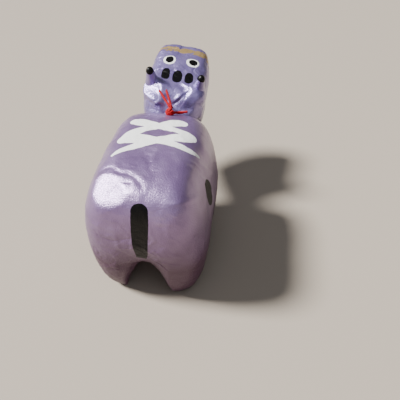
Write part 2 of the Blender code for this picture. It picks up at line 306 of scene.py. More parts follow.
def oval(across, along, centre, halves, lean=0.0, squareness=2.0):
    """Distance to an oval, about right near its edge. It leans by the given angle."""
    x, y = across - centre[0], along - centre[1]
    x, y = x * cos(lean) + y * sin(lean), y * cos(lean) - x * sin(lean)
    reach = (np.abs(x / halves[0]) ** squareness + np.abs(y / halves[1]) ** squareness) ** (1 / squareness)
    return (reach - 1) * min(halves)


print("a stroke is", stroke(np.zeros(1), np.zeros(1), [(-5, 0, 1), (5, 0, 1)])[0], "mm deep at its middle")

# %% [markdown]
# ## Pearl paint
# The real cow is papier-mache, a ground coat and a lavender paint with a pearly, nearly metallic sheen,
# put on with a brush. Principled with part metallic and middling roughness gives the broad soft glare of
# such paint, and a clear coat over it gives the white glare of the rump and the crown. Low down the colour
# turns darker and browner, which is painted shade with a painted brown reflection, and there both the metal
# and the coat fade away. The marks are black lacquer with a faint gloss, chalky white and dull gold, and
# the lining is bare grey-brown paper with no gloss at all. The grain of the paper is finer than half a
# millimetre and is drawn that wide so that it shows.

# %% Paint values
GRAIN_WIDTH = 0.50 * MM
BLOTCH_WIDTH = 7.0 * MM
TREMBLE_WIDTH = 1.3 * MM
NOISES = {  # width and detail
    "blotches": (BLOTCH_WIDTH, 4.0), "gloss": (BLOTCH_WIDTH / 3, 2.0), "tremble": (TREMBLE_WIDTH, 2.0),
    "grain": (GRAIN_WIDTH, 5.0)}
NOISE_ROUGHNESS = 0.55
BLOTCH_STEPS = (0.28, 0.50, 0.74)
TREMBLE, EDGE_SOFTNESS = 0.30, 0.06
GRAIN_BUMP, GRAIN_DEPTH = 0.8, 0.20 * MM
TRUNK_LAVENDER = ("#86689a", "#9677aa", "#a487b7")  # deep, middle and pale
# painted reflection: the head's lavender is made bluer than the trunk's, standing for the sky mirrored on the
# face
HEAD_SKY_LAVENDER = ("#7c6aa8", "#8f7dba", "#a290cc")
PEARL_METALLIC = 0.62
PEARL_ROUGHNESS, ROUGHNESS_SPREAD = 0.36, 0.07
GLARE, GLARE_ROUGHNESS, GLARE_IOR = 1.0, 0.32, 1.80
UNDER_GLARE = 0.12
# Painted shade: low down the lavender turns darker and browner, standing for shade and a brown reflection,
# and the metal and coat fade there.
PAINTED_SHADE_LAVENDER, PAINTED_SHADE_SHARE = "#4e3440", 0.90
LOW_METALLIC, LOW_GLARE = 0.0, 0.0
TRUNK_SHADE_HEIGHTS, HEAD_SHADE_HEIGHTS = (22 * MM, 54 * MM), (28 * MM, 52 * MM)  # heights of full and of no painted shade
BLACK = ("#080708", 0.42, 0.0, 0.10)  # colour, roughness, metallic, glare
WHITE = ("#f6f5f2", 0.55, 0.0, 0.10)
GOLD = ("#b89a68", 0.42, 0.55, 0.40)
RAW_PAPER = ("#a89d88", 0.90, 0.0, 0.0)

print("lavender of the trunk:", TRUNK_LAVENDER, "and of the head:", HEAD_SKY_LAVENDER)

# %% [markdown]
# ## One tree for all the paint
# Noise varies the lavender a little, as thin brushed paint does, and a fine bump stands for the grain of
# the paper. The share of painted shade, darker and browner low down, is worked out from the height. The
# marks are laid over that one after another, and each one brings its own colour, roughness, metal and
# gloss. A mark's stored distance, moved a little by the tremble, becomes its mask.

# %% Paint
def pearl_paint(name, lavender, layers, shade_heights):
    """Pearl lavender, with painted shade between two heights, under layers of (attribute, look)."""
    made, tree, principled = new_material(name)
    place = add_node(tree, "ShaderNodeTexCoord").outputs["Object"]
    noises = {}
    for use, (width, detail) in NOISES.items():
        noise = add_node(tree, "ShaderNodeTexNoise", {
            "Vector": place, "Scale": 1 / width, "Detail": detail, "Roughness": NOISE_ROUGHNESS})
        noises[use] = noise.outputs["Fac"]

    ramp = add_node(tree, "ShaderNodeValToRGB", {"Fac": noises["blotches"]})
    ramp.color_ramp.elements.new(BLOTCH_STEPS[1])
    for element, position, code in zip(ramp.color_ramp.elements, BLOTCH_STEPS, lavender):
        element.position, element.color = position, srgb(code)
    height = add_node(tree, "ShaderNodeSeparateXYZ", {"Vector": place}).outputs["Z"]
    # painted shade: a darker, browner colour towards the bottom
    shade_share = add_node(tree, "ShaderNodeMapRange", {
        "Value": height, "From Min": shade_heights[0], "From Max": shade_heights[1],
        "To Min": PAINTED_SHADE_SHARE, "To Max": 0.0}).outputs["Result"]
    colour = add_node(tree, "ShaderNodeMixRGB", {
        "Fac": shade_share, "Color1": ramp.outputs["Color"], "Color2": srgb(PAINTED_SHADE_LAVENDER)}).outputs["Color"]
    roughness, metallic, glare = [
        add_node(tree, "ShaderNodeMapRange", {
            "Value": share, "To Min": under, "To Max": over}).outputs["Result"]
        for share, under, over in (
            (noises["gloss"], PEARL_ROUGHNESS - ROUGHNESS_SPREAD, PEARL_ROUGHNESS + ROUGHNESS_SPREAD),
            (shade_share, PEARL_METALLIC, LOW_METALLIC), (shade_share, GLARE, LOW_GLARE))]

    tremble = add_node(tree, "ShaderNodeMath", {0: noises["tremble"], 1: -0.5}, operation="ADD").outputs[0]
    for mark, (hue, rough, metal, shine) in layers:
        edge = add_node(tree, "ShaderNodeAttribute", attribute_name=mark).outputs["Fac"]
        edge = add_node(tree, "ShaderNodeMath", {0: tremble, 1: TREMBLE, 2: edge}, operation="MULTIPLY_ADD")
        mask = add_node(tree, "ShaderNodeMapRange", {
            "Value": edge.outputs[0], "From Min": EDGE_SOFTNESS,
            "From Max": -EDGE_SOFTNESS}).outputs["Result"]
        colour = add_node(tree, "ShaderNodeMixRGB", {
            "Fac": mask, "Color1": colour, "Color2": srgb(hue)}).outputs["Color"]
        roughness, metallic, glare = [
            add_node(tree, "ShaderNodeMapRange", {
                "Value": mask, "To Min": under, "To Max": over}).outputs["Result"]
            for under, over in ((roughness, rough), (metallic, metal), (glare, shine))]

    bump = add_node(tree, "ShaderNodeBump", {
        "Height": noises["grain"], "Strength": GRAIN_BUMP, "Distance": GRAIN_DEPTH}).outputs["Normal"]
    for socket, value in (("Base Color", colour), ("Roughness", roughness), ("Metallic", metallic),
                          ("Coat Weight", glare), ("Normal", bump), ("Coat Normal", bump)):
        tree.links.new(value, principled.inputs[socket])
    principled.inputs["Specular IOR Level"].default_value = UNDER_GLARE
    principled.inputs["Coat Roughness"].default_value = GLARE_ROUGHNESS
    principled.inputs["Coat IOR"].default_value = GLARE_IOR
    return made


trunk_paint = pearl_paint("pearl lavender paint on papier-mache, trunk", TRUNK_LAVENDER, [
    ("tail", BLACK), ("spots", BLACK), ("lacing", WHITE), ("inside", RAW_PAPER)], TRUNK_SHADE_HEIGHTS)
head_paint = pearl_paint("pearl lavender paint on papier-mache, head", HEAD_SKY_LAVENDER, [
    ("band", GOLD), ("eye_rings", WHITE), ("pupils", BLACK), ("ovals", BLACK),
    ("horn_tips", BLACK)], HEAD_SHADE_HEIGHTS)
print("paints:", trunk_paint.name, "/", head_paint.name)

# %% [markdown]
# ## The trunk
# The trunk is a hollow loaf, pasted over a mould: squarish, narrower along the back, with an arch between
# the legs at each end and a shallower one at each side, and a large opening in front for the neck. Its
# shape follows a rule, a rounded box seen from the middle of the trunk, so every point is found along its
# direction from there. The same rule made the solid, so both agree.

# %% Trunk shape
TRUNK_LENGTH, TRUNK_WIDTH, TRUNK_HEIGHT = 0.0640, 0.0500, 0.0600
TRUNK_SQUARENESS = 4.6
SOLE_CUT = 0.0065
WALL = 0.0020
BACK_SQUEEZE_LEFT, BACK_SQUEEZE_RIGHT = 0.31, 0.41
SQUEEZE_FROM = 0.35
FRONT_TAPER = 0.02
LEG_TAPER, LEG_TAPER_FROM = 0.13, 0.55
LEG_GAP_WIDTH, SIDE_GAP_LENGTH = 0.0200, 0.0230
ARCH_REAR, ARCH_FRONT, BELLY_HEIGHT, SIDE_ARCH = 0.0240, 0.0185, 0.0150, 0.0135
ARCH_REACH = 0.0380
ARCH_ROUND, ARCH_FOOT = 2.5, 0.30
MOUTH_TILT = radians(16.0)
MOUTH_HALF_WIDTH, MOUTH_HALF_HEIGHT, MOUTH_SQUARENESS = 0.0185, 0.0165, 3.4


def arch(distance, half_width):
    """1 over the middle of a gap, falling to 0 in a soft foot at its side."""
    height = 1 - np.abs(distance / half_width) ** ARCH_ROUND
    return np.where(height > ARCH_FOOT, height, np.maximum(0, height + ARCH_FOOT) ** 2 / (4 * ARCH_FOOT))


def trunk_points(directions, inset):
    """Points of the outside, or of the lining when inset by the wall, in the cow's measures."""
    halves = np.array([TRUNK_WIDTH, TRUNK_LENGTH, TRUNK_HEIGHT + SOLE_CUT]) / 2 - inset
    reach = (np.abs(directions / halves) ** TRUNK_SQUARENESS).sum(axis=-1, keepdims=True)
    x, s, z = np.moveaxis(directions * reach ** (-1 / TRUNK_SQUARENESS), -1, 0)
    z = np.maximum(z + (TRUNK_HEIGHT - SOLE_CUT) / 2, inset)
    squeeze = np.where(x > 0, BACK_SQUEEZE_LEFT, BACK_SQUEEZE_RIGHT)
    back = 1 - squeeze * np.maximum(0, z / TRUNK_HEIGHT - SQUEEZE_FROM) ** 1.5
    front = 1 - FRONT_TAPER * np.maximum(0, 2 * s / TRUNK_LENGTH)
    legs = 1 - LEG_TAPER * np.maximum(0, 1 - z / (LEG_TAPER_FROM * TRUNK_HEIGHT)) ** 1.5
    x, s = x * back * front * legs, s * legs
    end = np.where(s > 0, ARCH_FRONT, ARCH_REAR)
    towards_end = np.minimum(1, np.abs(2 * s / TRUNK_LENGTH)) ** 3
    lengthwise = (BELLY_HEIGHT + (end - BELLY_HEIGHT) * towards_end) * arch(x, LEG_GAP_WIDTH / 2 + inset)
    crosswise = SIDE_ARCH * arch(s, SIDE_GAP_LENGTH / 2 + inset)
    lift = (lengthwise ** 4 + crosswise ** 4) ** 0.25 * np.maximum(0, 1 - z / ARCH_REACH)
    return np.stack([x, s, z + lift], axis=-1)


def mouth_directions(turn, tilt):
    """Directions that lean away from the neck opening's axis by tilt, towards the given side of it."""
    forward, side, up = np.cos(tilt), np.sin(turn) * np.sin(tilt), np.cos(turn) * np.sin(tilt)
    return np.stack([side, forward * cos(MOUTH_TILT) - up * sin(MOUTH_TILT),
                     forward * sin(MOUTH_TILT) + up * cos(MOUTH_TILT)], axis=-1)


def mouth_edge(turn):
    """Angle from the opening's axis to its edge."""
    across = np.abs(np.sin(turn) / MOUTH_HALF_WIDTH) ** MOUTH_SQUARENESS
    upright = np.abs(np.cos(turn) / MOUTH_HALF_HEIGHT) ** MOUTH_SQUARENESS
    return np.arctan2((across + upright) ** (-1 / MOUTH_SQUARENESS), TRUNK_LENGTH / 2)


rim_top = trunk_points(mouth_directions(np.zeros(1), mouth_edge(np.zeros(1))), 0.0)[0]
print("the rim's top is at s", (rim_top[1] / MM).round(2), "z", (rim_top[2] / MM).round(2), "mm")

# %% [markdown]
# ## Relief of the papier-mache
# Torn strips of paper overlap all over the cow and show as low steps under the paint. Between them the
# surface is lumpy, and where wet paper was pushed together it wrinkled. Each strip is laid as a thin
# soft-edged patch at a random place, and each wrinkle as a narrow ridge, or a groove where its height is
# below 0, along a curve.

# %% Strips and wrinkles
STRIP_THICK = 0.10 * MM
STRIP_EDGE = 0.45 * MM
STRIP_MEAN = 1.2 * STRIP_THICK  # taken off again, so that the strips don't fatten the cow
STRIP_HALF_LENGTHS, STRIP_HALF_WIDTHS = (6, 13), (3, 6)  # millimetres
STRIP_TEAR, STRIP_TEAR_WIDTH = 0.8 * MM, 3 * MM
WRINKLE_FALL = 2.5


def strips(points, normals, count, seed):
    """Height of overlapping paper strips."""
    dice = np.random.default_rng(seed)
    flat_points, flat_normals = points.reshape(-1, 3), normals.reshape(-1, 3)
    height = np.zeros(len(flat_points))
    for _ in range(count):
        at = dice.integers(len(flat_points))
        middle, up = flat_points[at], flat_normals[at]
        first = np.cross(up, dice.normal(size=3))
        first /= np.linalg.norm(first)
        second = np.cross(up, first)
        half_length = dice.uniform(*STRIP_HALF_LENGTHS) * MM
        half_width = dice.uniform(*STRIP_HALF_WIDTHS) * MM
        offset = flat_points - middle
        u, v, w = offset @ first, offset @ second, offset @ up
        ragged = STRIP_TEAR * lumps(flat_points, STRIP_TEAR_WIDTH, seed + 7)
        inside = np.minimum(half_length - np.abs(u), half_width - np.abs(v)) + ragged
        height += STRIP_THICK * rise(inside, 0, STRIP_EDGE) * (np.abs(w) < half_width)
    return height.reshape(points.shape[:-1])


def wrinkles(points, lines, fade=0.3):
    """Height of ridges along lines, whose rows are (x, s, z, height, half width) in millimetres."""
    height = np.zeros(points.shape[:-1])
    for line in lines:
        rows = smooth_rows(line, 30) * MM
        gap = np.full(height.shape, 1.0)
        tall = np.zeros(height.shape)
        for number, (*at, high, wide) in enumerate(rows):
            distance = np.linalg.norm(points - at, axis=-1) / wide
            share = number / (len(rows) - 1)
            closer = distance < gap
            gap = np.where(closer, distance, gap)
            tall = np.where(closer, high * min(1.0, share / fade, (1 - share) / fade), tall)
        height += tall * np.exp(-WRINKLE_FALL * gap ** 2) * (gap < 1)
    return height


print("a strip is", STRIP_THICK / MM, "mm thick")

# %% [markdown]
# ## Creases and flat places
# Drying paper also crumples in fine lines, which come and go. They are found where a lumpy field passes
# through 0. Here and there the wet paper was pushed flat, and such a flat place is what catches the sun
# and shines. It is made by cutting the skin level at a small depth, and the cut fades out towards its
# edge.

# %% Creases and flat places
CREASE_SHARPNESS = 0.09
CREASE_PATCHES = 1.6  # width of the patches that show creases, as a share of the creases' own


def creases(points, width, seed):
    """Narrow crumpled lines, 1 on a line and 0 away from it, that come and go."""
    lines = lumps(points, width, seed) + 0.5 * lumps(points, width / 2, seed + 1)
    shown = rise(lumps(points, CREASE_PATCHES * width, seed + 2), 0.0, 0.5)
    return np.exp(-(lines / CREASE_SHARPNESS) ** 2) * shown


def pressed(points, place, facing, depth, width):
    """Points near a place, pushed flat from the given side to a depth below the highest of them."""
    near = np.exp(-(((points - np.multiply(place, MM)) ** 2).sum(axis=-1) / width ** 2) ** 2)
    height = points @ facing
    over = np.maximum(0, height - height[near > 0.5].max() + depth)
    return points - facing * (over * near)[..., None]


print("a crease at the origin:", creases(np.zeros((1, 3)), 5 * MM, 1).round(3))

# %% [markdown]
# ## Building the trunk
# The rings start in the lining at the back, come forward inside, turn round the rim of the opening, and
# go back over the outside to the rump. They are laid out before any relief, in two sets.

# %% Trunk rings
TRUNK_AROUND, OUTSIDE_RINGS, LINING_RINGS, RIM_RINGS = 320, 215, 46, 5
BELLY_CROWDING = 0.42

turns = np.linspace(0, 2 * pi, TRUNK_AROUND, endpoint=False)
turns = turns + BELLY_CROWDING * np.sin(turns)
edges = mouth_edge(turns)


def trunk_rings(count, inset):
    """Rings of the outside or of the lining, from the neck opening to the rump."""
    shares = np.arange(count)[:, None] / count
    return trunk_points(mouth_directions(turns, edges + (pi - edges) * shares), inset)


outside, lining = trunk_rings(OUTSIDE_RINGS, 0.0), trunk_rings(LINING_RINGS, WALL)
outside_normals, lining_normals = ring_normals(outside), ring_normals(lining)
print("rings:", OUTSIDE_RINGS, "outside and", LINING_RINGS, "in the lining, each of", TRUNK_AROUND, "points")

# %% [markdown]
# ## Relief of the trunk
# The outside gets all of the relief, which fades out just above the soles so that the cow stands flat.
# The wrinkles on the rump follow the folds that can be seen in the photograph, round the place that was
# pushed flat.

# %% Trunk relief
TRUNK_LUMPS = [(.26, 9, 3), (.11, 4.2, 5), (.035, 1.7, 9)]  # height and width in millimetres, seed
TRUNK_CREASES = [(-.22, 6, 61), (.16, 9, 71)]
TRUNK_STRIPS, TRUNK_STRIP_SEED = 90, 11
SOLE_FADE = (0.2 * MM, 4 * MM)
RIM_FADE, RIM_FADE_RINGS = 0.5, 6
TRUNK_WRINKLES = [  # x, s, z, height, half width in millimetres
    [(-9.7, -27.4, 55.0, .10, 1.2), (-13.5, -25.8, 54.5, .40, 1.5), (-19.6, -18.3, 51.1, .45, 1.5),
     (-21.8, -7.8, 45.8, .25, 1.3)],
    [(16.3, -19.9, 56.4, -.3, 0.9), (15.5, -16.0, 57.5, -.40, 0.9), (11.8, -15.2, 58.9, -.35, 0.9),
     (8.4, -17.7, 59.3, -.40, 0.9), (3.8, -18.4, 59.3, -.40, 0.9), (0.4, -20.9, 58.9, -.45, 0.9),
     (-1.6, -23.4, 58.1, -.40, 0.9), (-1.2, -25.5, 57.0, -.2, 0.9)],
    [(17.0, -13.6, 57.0, .1, 1.2), (11.8, -13.4, 59.0, .14, 1.2), (7.0, -15.9, 59.5, .18, 1.2),
     (2.6, -16.7, 59.5, .18, 1.2), (-2.4, -20.4, 58.9, .14, 1.2), (-3.4, -24.6, 57.4, .1, 1.2)],
    [(9.6, -20.0, 58.8, -.2, 0.8), (6.3, -21.5, 58.6, -.45, 0.8), (3.7, -21.8, 58.6, -.25, 0.8),
     (1.8, -22.2, 58.4, -.1, 0.8)],
    [(6.3, -21.5, 58.6, -.2, 0.7), (7.7, -23.4, 57.8, -.30, 0.8), (9.1, -24.8, 57.0, -.35, 0.8),
     (11.4, -26.5, 55.4, -.2, 0.8)],
    [(-2.5, -4.0, 60.0, .1, 1.5), (-2.3, -8.0, 60.0, .28, 1.6), (-2.6, -13.0, 59.9, .1, 1.5)],
    [(-22.5, -14.0, 40.0, .1, 1.0), (-23.0, -17.0, 30.0, .3, 1.2), (-20.5, -24.0, 18.0, .2, 1.2)],
    [(24.0, 12.0, 40.0, .1, 1.0), (24.3, 5.0, 34.0, .3, 1.2), (24.0, -6.0, 33.0, .2, 1.2)],
]
above_sole = rise(outside[..., 2], *SOLE_FADE)
at_rim = 1 - RIM_FADE * rise(-np.arange(OUTSIDE_RINGS)[:, None] * np.ones(TRUNK_AROUND), -RIM_FADE_RINGS, 0)
relief = (layered(lumps, outside, TRUNK_LUMPS) + layered(creases, outside, TRUNK_CREASES)
          + strips(outside, outside_normals, TRUNK_STRIPS, TRUNK_STRIP_SEED) - STRIP_MEAN
          + wrinkles(outside, TRUNK_WRINKLES))
print("relief from", (relief.min() / MM).round(2), "to", (relief.max() / MM).round(2), "mm")

# %% [markdown]
# ## Joining the trunk's rings
# The rump is pushed flat on the side of the sun first, and the relief goes on top of that. The lining only
# gets lumps. A few rings with a slight bead join it to the outside at the rim, where the paper was folded
# over.

# %% Trunk skin
RIM_BEAD = 0.0006
LINING_LUMPS, LINING_FADE = [(.30, 6, 21)], (3 * MM, 6 * MM)
SUNNY_SIDE = np.array([0.305, -0.562, 0.768])  # facing of the flat places, in the cow's measures
RUMP_PRESSED_AT, RUMP_PRESSED_BY, RUMP_PRESSED_WIDTH = (4.8, -20.4, 59.0), 2.10 * MM, 11.8 * MM

axis_out = np.array([0, cos(MOUTH_TILT), sin(MOUTH_TILT)])
formed = pressed(outside, RUMP_PRESSED_AT, SUNNY_SIDE, RUMP_PRESSED_BY, RUMP_PRESSED_WIDTH)
formed = formed + outside_normals * (relief * above_sole * at_rim)[..., None]
formed[..., 2] = np.maximum(formed[..., 2], 0)
lining_relief = layered(lumps, lining, LINING_LUMPS) * rise(lining[..., 2], *LINING_FADE)
lined = lining - lining_normals * np.abs(lining_relief)[..., None]
shares = (np.arange(RIM_RINGS) + 1)[:, None, None] / (RIM_RINGS + 1)
rim = lined[0] + (formed[0] - lined[0]) * shares + axis_out * RIM_BEAD * np.sin(pi * shares)
trunk_skin = np.concatenate([lined[::-1], rim, formed])
print("the trunk has", len(trunk_skin), "rings")

# %% [markdown]
# ## Marks on the trunk
# The lacing is four brush strokes that cross twice over the shoulders, like the cords of a harness. The
# tail is one tapering stroke from the rump down to the arch, and each flank has an oval spot. A mark is
# only laid on the side of the trunk that faces it, so its distance is kept large elsewhere.

# %% Trunk marks
FAR = 9.0  # a distance, in millimetres, that is well outside any mark
LACING = [  # x, s, half width in millimetres
    [(10.7, 14.1, 2.0), (8.0, 13.9, 2.65), (4.6, 13.1, 2.3), (0.1, 11.8, 1.75), (-5.5, 10.4, 1.5),
     (-8.8, 9.5, 1.45), (-11.5, 8.4, 2.0), (-13.7, 7.4, 2.15)],
    [(-9.3, 15.3, 1.7), (-7.4, 15.4, 2.3), (-5.0, 14.7, 2.5), (-2.0, 13.2, 2.0), (0.1, 11.8, 1.75),
     (3.4, 10.2, 1.6), (6.8, 8.1, 1.95), (9.8, 5.0, 2.6), (12.1, 1.1, 2.3)],
    [(-13.0, 6.3, 1.9), (-10.5, 5.4, 2.4), (-7.5, 4.9, 2.4), (-4.2, 3.7, 1.8), (-0.9, 2.2, 1.9),
     (3.6, -0.6, 1.9), (7.2, -3.2, 1.65), (9.5, -4.7, 1.4), (11.9, -6.6, 1.1), (13.6, -8.7, 0.5)],
    [(10.4, 1.5, 2.4), (7.4, 2.4, 3.0), (4.0, 2.9, 2.2), (-0.9, 2.2, 1.9), (-5.0, 1.5, 1.8), (-8.5, 0.6, 1.5),
     (-13.1, -0.2, 1.4), (-15.8, 0.1, 1.05), (-17.6, 0.6, 0.6)],
]
LACING_LOW = 50.0
TAIL = [(-1.6, 53.0, 3.1), (-1.6, 48.0, 3.25), (-1.2, 42.0, 3.1), (-1.0, 37.0, 2.85), (-0.9, 33.0, 2.6),
        (-0.5, 29.5, 2.15), (-0.4, 26.5, 2.0)]
TAIL_FOOT, TAIL_FRONT = 28.4, -20.0
TAIL_BEND, TAIL_BEND_SHARE = -30.5, 0.4  # forward of this s, where the rump turns over, s counts in part
SPOT_AT, SPOT_HALVES, SPOT_LEAN = (-5.0, 42.0), (4.1, 6.5), radians(10.0)
SPOT_SIDE = 15.0
PAPER_EDGE_STEP = 0.5  # millimetres for each ring

x_mm, s_mm, z_mm = np.moveaxis(trunk_skin / MM, -1, 0)
lacing = np.min([stroke(x_mm, s_mm, rows) for rows in LACING], axis=0)
over_rump = z_mm + TAIL_BEND_SHARE * np.maximum(0, s_mm - TAIL_BEND)
tail = np.maximum(stroke(x_mm, over_rump, TAIL), TAIL_FOOT - z_mm)
spots = oval(s_mm, z_mm, SPOT_AT, SPOT_HALVES, SPOT_LEAN)
ring_number = np.arange(len(trunk_skin))[:, None] * np.ones(TRUNK_AROUND)
inside = (ring_number - LINING_RINGS - RIM_RINGS / 2) * PAPER_EDGE_STEP
hidden = np.where(ring_number < LINING_RINGS + RIM_RINGS, FAR, -FAR)
trunk_marks = {
    "lacing": np.maximum.reduce([lacing, LACING_LOW - z_mm, hidden]),
    "tail": np.maximum.reduce([tail, s_mm - TAIL_FRONT, hidden]),
    "spots": np.maximum.reduce([spots, SPOT_SIDE - np.abs(x_mm), hidden]),
    "inside": inside,
}
for mark, values in trunk_marks.items():
    print(mark, "covers", int((values < 0).sum()), "points")

# %% [markdown]
# ## Placing the trunk
# The cow's own measures become places in the scene by turning s round, because the cow faces -Y, and by
# moving everything so that the origin is on the floor under the middle of its box.

# %% Trunk piece
HEAD_REACH = 0.0406
HOLD_FORWARD, HOLD_UP = 0.0074, -0.0002
MIDDLE_Y = (rim_top[1] + HOLD_FORWARD + HEAD_REACH - TRUNK_LENGTH / 2) / 2


def placed(points):
    """Points in the cow's measures as places in the scene."""
    return points * (1, -1, 1) + (0, MIDDLE_Y, 0)


trunk_mesh = skin("trunk", placed(trunk_skin), trunk_marks, trunk_paint)
piece("trunk", trunk_mesh, "trunk", "body", "trunk_paint")

# %% [markdown]
# ## The head
# The head is a deep flat-topped loaf with the face painted on top, because the head is tipped up to hang
# that way. The crown slopes to the neck, which goes back into the trunk and balances the head where the
# thread holds it. Its sections are rounded boxes whose sizes are given at a few distances and run
# smoothly between them.

# %% Head shape
HEAD_STATIONS = np.array([  # forward, top, underside, half width, squareness above, squareness below
    (-.0510, -.0078, -.0273, .0116, 2.0, 2.0), (-.0400, -.0055, -.0280, .0143, 2.0, 2.0),
    (-.0250, -.0056, -.0262, .0108, 2.0, 2.0), (-.0120, -.0056, -.0216, .0088, 2.0, 2.0),
    (-.0040, -.0038, -.0204, .0090, 2.0, 2.0), (.0005, .0004, -.0200, .0107, 2.0, 2.1),
    (.0035, .0050, -.0204, .0126, 2.3, 2.2), (.0070, .0072, -.0210, .0139, 2.9, 2.4),
    (.0140, .0080, -.0222, .0148, 3.6, 2.5), (.0215, .0095, -.0240, .0147, 3.8, 2.6),
    (.0280, .0110, -.0188, .0143, 4.0, 2.8), (.0336, .0123, -.0118, .0134, 4.0, 3.0),
    (.0382, .0121, -.0050, .0121, 3.8, 3.0), (.0406, .0097, -.0008, .0094, 3.0, 2.6)])
HEAD_ASIDE, HEAD_ROLL, HEAD_TURN = 0.0004, radians(6.5), radians(2.5)
CROWN_DISH, CROWN_DISH_AT, CROWN_DISH_SPREAD = 0.0009, 0.0330, 0.0045
HEAD_AROUND, HEAD_RINGS, NECK_RINGS = 320, 210, 60
FACE_START, MUZZLE_END = -0.0060, HEAD_STATIONS[-1, 0]
MUZZLE_CROWDING = 0.25


def smooth_table(rows, at):
    """Values on smooth curves through the rows, which neither dip nor bulge between them."""
    places, values = rows[:, 0], rows[:, 1:]
    slopes = np.diff(values, axis=0) / np.diff(places)[:, None]
    turning = slopes[:-1] * slopes[1:] <= 0
    middle = 2 * slopes[:-1] * slopes[1:] / np.where(turning, 1.0, slopes[:-1] + slopes[1:])
    tangents = np.vstack([slopes[:1], np.where(turning, 0.0, middle), slopes[-1:]])
    i = np.clip(np.searchsorted(places, at, side="right") - 1, 0, len(places) - 2)
    span = (places[i + 1] - places[i])[:, None]
    t = (at - places[i])[:, None] / span
    start = (2 * t ** 3 - 3 * t ** 2 + 1) * values[i] + (t ** 3 - 2 * t ** 2 + t) * span * tangents[i]
    end = (3 * t ** 2 - 2 * t ** 3) * values[i + 1] + (t ** 3 - t ** 2) * span * tangents[i + 1]
    return start + end


def head_rings(forward):
    """Sections of the head at the given distances, in its own measures (x, forward, up)."""
    top, under, half_width, above, below = smooth_table(HEAD_STATIONS, forward).T[..., None]
    angle = np.linspace(0, 2 * pi, HEAD_AROUND, endpoint=False)
    half_height = (top - under) / 2
    power = np.where(np.sin(angle) >= 0, above, below)
    total = np.abs(np.cos(angle) / half_width) ** power + np.abs(np.sin(angle) / half_height) ** power
    reach = total ** (-1 / power)
    x, z = reach * np.cos(angle), reach * np.sin(angle)
    dish = CROWN_DISH * np.exp(-((forward[:, None] - CROWN_DISH_AT) / CROWN_DISH_SPREAD) ** 2)
    upper = np.maximum(0, z / half_height) ** (power / 2)
    z = z - dish * upper * (1 - (x / half_width) ** 2) + (top + under) / 2
    return np.stack([x, forward[:, None] + 0 * x, z], axis=-1)


ease = np.linspace(0, 1, HEAD_RINGS)
sections = np.concatenate([
    np.linspace(HEAD_STATIONS[0, 0], FACE_START, NECK_RINGS, endpoint=False),
    FACE_START + (MUZZLE_END - FACE_START) * (ease + MUZZLE_CROWDING * np.sin(pi * ease) / pi)])
bare_head = head_rings(sections)
print("the head has", len(sections), "sections")

# %% [markdown]
# ## Hanging the head
# The head hangs on its thread a little askew: its left side is higher, and its face is turned slightly to
# its left.

# %% Hanging
hold = rim_top + (0, HOLD_FORWARD, HOLD_UP)
hung = (Matrix.Translation(placed(hold) + (HEAD_ASIDE, 0, 0)) @ Matrix.Rotation(HEAD_TURN, 4, "Z")
        @ Matrix.Rotation(-HEAD_ROLL, 4, "Y"))


def hung_points(points):
    """Points in the head's own measures as places in the scene."""
    turned = np.array(hung)
    return (points * (1, -1, 1)) @ turned[:3, :3].T + turned[:3, 3]


print("the head hangs from", (placed(hold) / MM).round(1), "mm")

# %% [markdown]
# ## Relief of the head
# The paper of the head is folded over in a V where the crown meets the neck, it is banked up round the
# horns and in two shoulders beside the neck, and the whole is lumpier than the trunk. Like the rump, the
# crown has places that were pushed flat and shine.

# %% Head folds
HEAD_LUMPS = [(.24, 7, 31), (.13, 3.4, 33), (.035, 1.4, 35)]  # height and width in millimetres, seed
HEAD_CREASES = [(-.22, 5, 81)]
CROWN_LUMPS, CROWN_CREASES = [(.38, 2.6, 41)], [(-.32, 4, 91)]
HEAD_STRIPS, HEAD_STRIP_SEED = 46, 37
HEAD_WRINKLES = [  # x, forward, up, height, half width in millimetres
    [(12.6, 7.4, 2.0, .60, 3.0), (10.0, 4.4, 2.2, 1.10, 3.4), (6.2, 1.6, 0.8, 1.00, 3.2),
     (2.6, -1.2, -0.8, .4, 2.4)],
    [(12.6, 5.2, -0.7, -.45, 1.1), (10.5, 3.4, 0.1, -.55, 1.0), (6.5, 1.0, -0.3, -.50, 1.0),
     (3.5, 0.2, 0, -.2, .9)],
    [(-8.8, 9.3, 8.3, .2, 1.3), (-6.0, 6.2, 6.3, .55, 1.5), (-2.6, 2.8, 3.7, .55, 1.5),
     (0.2, 1.0, 1.8, .2, 1.2)],
    [(-8.4, 7.8, 7.6, -.2, 1.0), (-5.2, 4.9, 5.2, -.50, 1.0), (-1.9, 1.5, 2.2, -.50, 1.0),
     (0.6, 0.1, .6, -.2, .9)],
    [(4.0, 3.6, 3.5, .1, 1.0), (3.0, 5.5, 5.4, .35, 1.1), (3.5, 8.0, 7.2, .1, 1.0)],
    [(-9.0, 5.0, 2.0, .1, 1.0), (-11.0, 8.0, 3.0, .4, 1.3), (-13.0, 13.0, 2.0, .15, 1.2)],
]
HORN_SPREAD, HORN_FORWARD = 0.0102, 0.0102
MOUND_HEIGHT, MOUND_WIDTH, MOUND_SHIFT = 2.4 * MM, 4.4 * MM, np.array([1.0, -2.2]) * MM
SHOULDERS = [(7.2 * MM, 1.2 * MM, 2.4 * MM), (-9.0 * MM, 2.5 * MM, 1.6 * MM)]  # across, along, height
SHOULDER_WIDTH = 5.0 * MM
MOUND_RISE, SHOULDER_RISE = (-2 * MM, 4 * MM), (-9 * MM, -4 * MM)


